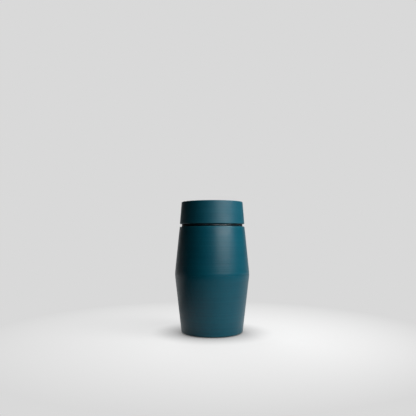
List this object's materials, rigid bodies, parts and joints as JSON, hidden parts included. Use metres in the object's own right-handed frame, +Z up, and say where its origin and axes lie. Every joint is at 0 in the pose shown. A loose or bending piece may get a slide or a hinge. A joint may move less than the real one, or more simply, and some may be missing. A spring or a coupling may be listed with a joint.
{
  "type": "lidded amphora urn",
  "caption": "Tall lidded metal vessel whose soft cones meet at the belly, with a screw lid above a dark rubber seal, a flat shoulder and a felt-padded foot.",
  "frame": {"origin": "centre of the base, on the surface that the vessel stands on", "axes": "+Z up along the vessel's axis; X and Y are free, because the vessel is round"},
  "size_m": [0.1627, 0.1626, 0.2858],
  "materials": {
    "lacquer": "satin petrol lacquer on spun metal, with faint turning lines",
    "bare_metal": "turned, bare",
    "felt": "dense black felt",
    "seal_rubber": "matt black rubber"
  },
  "bodies": {
    "vessel": {"lower_shell": "lacquer", "upper_shell": "lacquer", "neck_collar": "bare_metal", "base_plate": "bare_metal", "base_pad": "felt"},
    "seal": {"lid_seal": "seal_rubber"},
    "lid": {"lid_shell": "lacquer", "lid_ring": "bare_metal"}
  },
  "joints": [
    {"name": "lid_lift", "type": "slide", "parent": "vessel", "child": "seal", "axis": [0, 0, 1], "range_m": [0, 0.04]},
    {"name": "lid_turn", "type": "hinge", "parent": "seal", "child": "lid", "pos_m": [0, 0, 0.2346], "axis": [0, 0, 1], "range_deg": [0, 720]}
  ],
  "couplings": [
    {"joint": "lid_lift", "follows": "lid_turn", "m_per_rad": 0.0031831}
  ]
}
